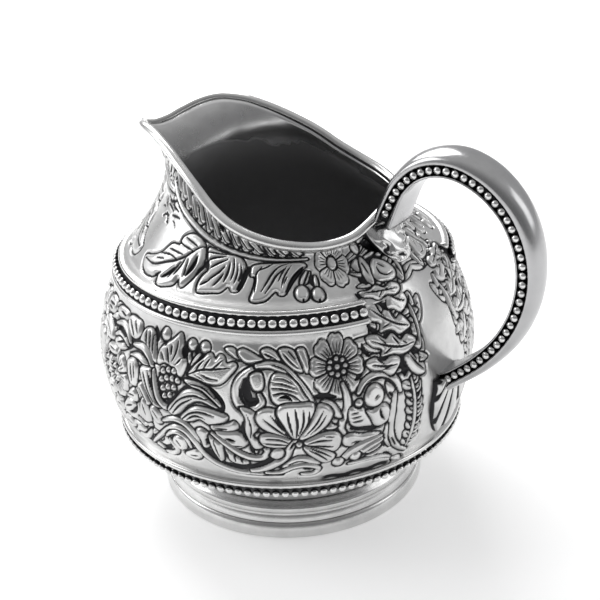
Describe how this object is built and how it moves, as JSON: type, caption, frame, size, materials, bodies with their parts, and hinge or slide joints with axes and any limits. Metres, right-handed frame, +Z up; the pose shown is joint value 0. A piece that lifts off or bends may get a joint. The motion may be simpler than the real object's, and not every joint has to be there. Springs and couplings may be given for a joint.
{
  "type": "cream jug",
  "caption": "Round-bellied metal cream jug with a pinched spout, chased leaf and flower relief, beaded belts, a stepped foot and a beaded loop handle.",
  "frame": {"origin": "bottom centre of the jug's bounding box, on the surface it stands on", "axes": "+Z up out of the mouth, +X from the spout towards the handle, X-Z is the mirror plane"},
  "size_m": [0.115, 0.0928, 0.0955],
  "materials": {
    "polished_silver": "polished silver with light handling wear",
    "chased_silver": "chased silver with black patina in the recesses",
    "beaded_silver": "bright beads over a blackened channel"
  },
  "bodies": {
    "root": {"body_shell": "chased_silver", "rim_wire": "polished_silver", "shoulder_upper_fillet": "polished_silver", "shoulder_bead_wire": "beaded_silver", "shoulder_lower_fillet": "polished_silver", "base_fillet": "polished_silver", "base_bead_wire": "beaded_silver", "foot_spool": "polished_silver", "foot_base_wire": "polished_silver", "handle_bow": "polished_silver", "handle_left_bead_wire": "beaded_silver", "handle_right_bead_wire": "beaded_silver", "handle_leaf": "chased_silver", "handle_socket": "polished_silver"}
  },
  "joints": []
}
